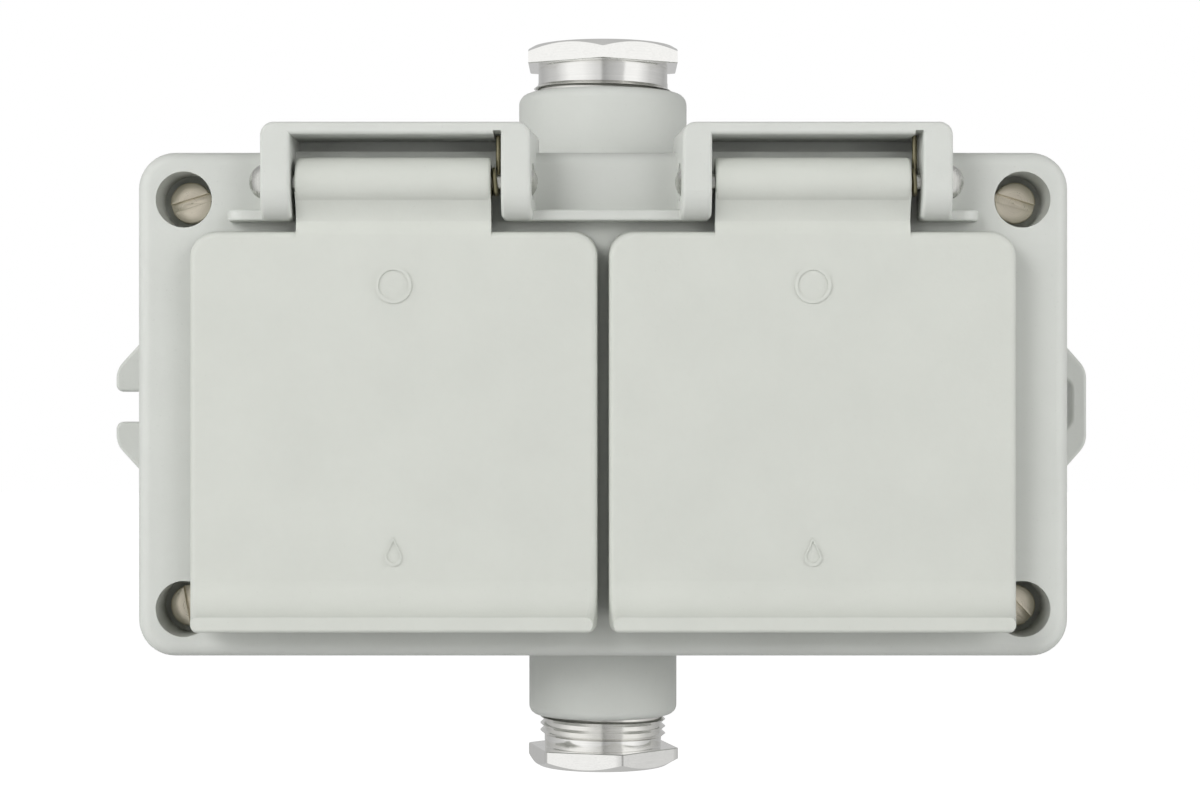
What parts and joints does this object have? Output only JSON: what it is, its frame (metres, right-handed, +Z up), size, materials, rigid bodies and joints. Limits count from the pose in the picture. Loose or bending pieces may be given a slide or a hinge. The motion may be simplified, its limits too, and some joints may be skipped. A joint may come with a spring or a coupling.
{
  "type": "outdoor weatherproof socket",
  "caption": "Wall-mounted die-cast double mains socket with sprung lids, cable glands at top and bottom, and side fixing lugs.",
  "frame": {"origin": "middle of the housing's flat back, on the wall", "axes": "+X to the right as seen from the front, -Y out of the front, +Z up along the two cable glands"},
  "size_m": [0.1631, 0.0538, 0.1166],
  "materials": {
    "housing_paint": "light grey powder coat on die-cast aluminium",
    "lid_paint": "light grey powder coat on die-cast aluminium",
    "seal_rubber": "black rubber",
    "lid_rubber": "dark grey rubber",
    "nickel_steel": "nickel-plated steel",
    "zinc_steel": "zinc-plated steel",
    "gland_metal": "turned bright",
    "pot_plastic": "moulded black thermoset",
    "carrier_plastic": "off-white insulating moulding",
    "contact_brass": "plain brass",
    "pin_steel": "bright steel",
    "spring_wire": "passivated spring steel wire"
  },
  "bodies": {
    "root": {"base_box": "housing_paint", "cover": "housing_paint", "cover_gasket": "seal_rubber", "cover_screws": "nickel_steel", "earth_screw": "zinc_steel", "top_gland_screw": "gland_metal", "top_gland_washer": "zinc_steel", "top_gland_seal": "seal_rubber", "bottom_gland_screw": "gland_metal", "bottom_gland_washer": "zinc_steel", "bottom_gland_seal": "seal_rubber", "left_socket_pot": "pot_plastic", "left_pot_seal": "seal_rubber", "left_pot_screws": "zinc_steel", "left_contact_carrier": "carrier_plastic", "left_carrier_screw": "zinc_steel", "left_line_contact": "contact_brass", "left_neutral_contact": "contact_brass", "left_earth_contact": "contact_brass", "left_terminal_screws": "zinc_steel", "left_hinge_pin": "pin_steel", "left_hinge_spring": "spring_wire", "right_socket_pot": "pot_plastic", "right_pot_seal": "seal_rubber", "right_pot_screws": "zinc_steel", "right_contact_carrier": "carrier_plastic", "right_carrier_screw": "zinc_steel", "right_line_contact": "contact_brass", "right_neutral_contact": "contact_brass", "right_earth_contact": "contact_brass", "right_terminal_screws": "zinc_steel", "right_hinge_pin": "pin_steel", "right_hinge_spring": "spring_wire"},
    "left_lid": {"left_lid": "lid_paint", "left_lid_seal": "lid_rubber"},
    "right_lid": {"right_lid": "lid_paint", "right_lid_seal": "lid_rubber"}
  },
  "joints": [
    {"name": "left_lid_hinge", "type": "hinge", "parent": "root", "child": "left_lid", "pos_m": [-0.0316, -0.0483, 0.0336], "axis": [-1, 0, 0], "range_deg": [0, 110], "stiffness_Nm_per_rad": 0.02, "springref_deg": -85.94},
    {"name": "right_lid_hinge", "type": "hinge", "parent": "root", "child": "right_lid", "pos_m": [0.0316, -0.0483, 0.0336], "axis": [-1, 0, 0], "range_deg": [0, 110], "stiffness_Nm_per_rad": 0.02, "springref_deg": -85.94}
  ]
}
